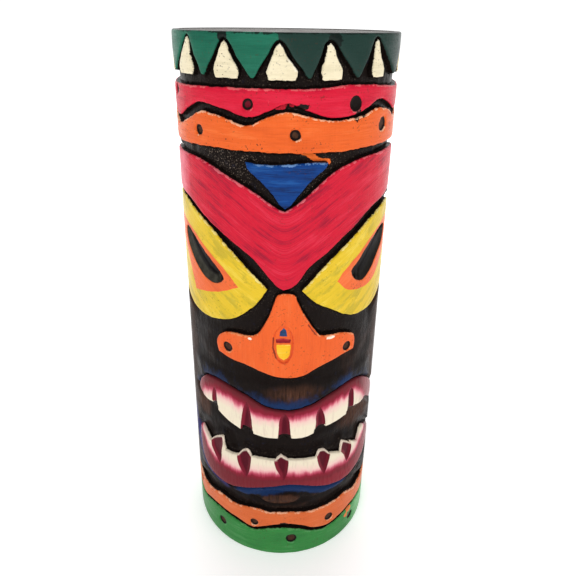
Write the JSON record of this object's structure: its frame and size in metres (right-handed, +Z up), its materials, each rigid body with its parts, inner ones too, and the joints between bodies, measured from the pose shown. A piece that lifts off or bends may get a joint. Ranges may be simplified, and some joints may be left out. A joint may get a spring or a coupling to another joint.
{
  "type": "tiki figure",
  "caption": "Small carved and painted wooden tiki: an upright round log with a grimacing mask, a toothed crown and wavy bands.",
  "frame": {"origin": "centre of the flat base that the figure stands on", "axes": "+Z up the log; the face looks towards -Y; +X is the viewer's right"},
  "size_m": [0.076, 0.076, 0.203],
  "materials": {
    "dark_wood": "dark stained, glossy lacquer",
    "crown_green": "brushed paint under gloss lacquer",
    "cream_paint": "brushed paint under gloss lacquer",
    "red_paint": "brushed paint under gloss lacquer",
    "orange_paint": "brushed paint under gloss lacquer",
    "yellow_paint": "brushed paint under gloss lacquer",
    "blue_paint": "brushed paint under gloss lacquer",
    "leaf_green_paint": "brushed paint under gloss lacquer",
    "maroon_paint": "brushed paint under gloss lacquer",
    "ivory_paint": "brushed paint under gloss lacquer"
  },
  "bodies": {
    "root": {"log_core": "dark_wood", "crown_band": "crown_green", "crown_tooth_1": "cream_paint", "crown_tooth_2": "cream_paint", "crown_tooth_3": "cream_paint", "crown_tooth_4": "cream_paint", "crown_tooth_5": "cream_paint", "crown_tooth_6": "cream_paint", "crown_tooth_7": "cream_paint", "crown_tooth_8": "cream_paint", "crown_tooth_9": "cream_paint", "crown_tooth_10": "cream_paint", "crown_tooth_11": "cream_paint", "crown_tooth_12": "cream_paint", "crown_tooth_13": "cream_paint", "crown_tooth_14": "cream_paint", "red_wave_band": "red_paint", "red_band_spots": "dark_wood", "orange_wave_band": "orange_paint", "orange_band_spots": "dark_wood", "forehead_triangle": "blue_paint", "brow": "red_paint", "left_eye": "yellow_paint", "left_iris": "orange_paint", "left_pupil": "dark_wood", "right_eye": "yellow_paint", "right_iris": "orange_paint", "right_pupil": "dark_wood", "nose": "orange_paint", "nostril_spots": "dark_wood", "nose_mark_blue": "blue_paint", "nose_mark_red": "maroon_paint", "nose_mark_yellow": "yellow_paint", "upper_gum": "maroon_paint", "upper_tooth_1": "ivory_paint", "upper_tooth_2": "ivory_paint", "upper_tooth_3": "ivory_paint", "upper_tooth_4": "ivory_paint", "upper_tooth_5": "ivory_paint", "upper_tooth_6": "ivory_paint", "lower_lip": "maroon_paint", "lower_tooth_1": "ivory_paint", "lower_tooth_2": "ivory_paint", "lower_tooth_3": "ivory_paint", "lower_tooth_4": "ivory_paint", "lower_tooth_5": "ivory_paint", "lower_tooth_6": "ivory_paint", "chin_band": "orange_paint", "chin_band_spots": "dark_wood", "base_band": "leaf_green_paint", "base_band_spots": "dark_wood"}
  },
  "joints": []
}
